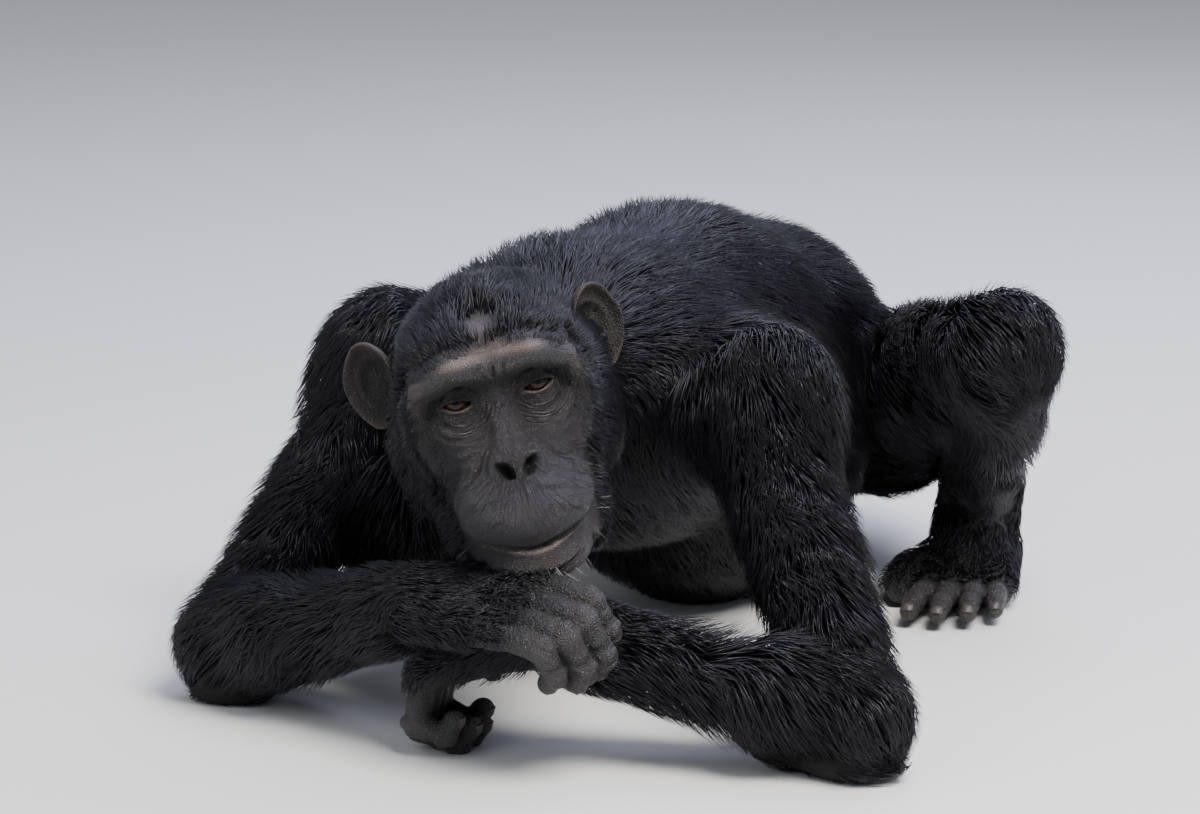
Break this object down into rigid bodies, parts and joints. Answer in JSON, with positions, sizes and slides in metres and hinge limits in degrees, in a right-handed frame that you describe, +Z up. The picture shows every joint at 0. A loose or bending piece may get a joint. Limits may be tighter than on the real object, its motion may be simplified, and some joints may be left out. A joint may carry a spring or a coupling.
{
  "type": "chimpanzee model",
  "caption": "Life-size still model of an adult chimpanzee lying on its belly, its chin resting on its folded hands.",
  "frame": {"origin": "middle of the footprint, on the floor", "axes": "+Y along the spine towards the rump, so the head is at -Y; +Z up; +X the animal's left"},
  "size_m": [0.6564, 0.889, 0.3498],
  "materials": {
    "coat": "long straight black hair with a blue-violet sheen",
    "face_skin": "dark grey wrinkled skin, satin",
    "hand_skin": "dark grey-brown creased skin, satin",
    "ear_skin": "brown skin, satin",
    "eye": "brown iris in a dark brown eye, wet gloss"
  },
  "bodies": {
    "root": {"chest": "coat", "belly": "coat", "hips": "coat", "neck": "coat", "upper_arm_left": "coat", "upper_arm_right": "coat", "forearm_left": "coat", "forearm_right": "coat", "thigh_left": "coat", "thigh_right": "coat", "shin_left": "coat", "shin_right": "coat", "head": "face_skin", "hand_left": "hand_skin", "hand_right": "hand_skin", "foot_left": "hand_skin", "foot_right": "hand_skin", "ear_left": "ear_skin", "ear_right": "ear_skin", "eye_left": "eye", "eye_right": "eye"}
  },
  "joints": []
}
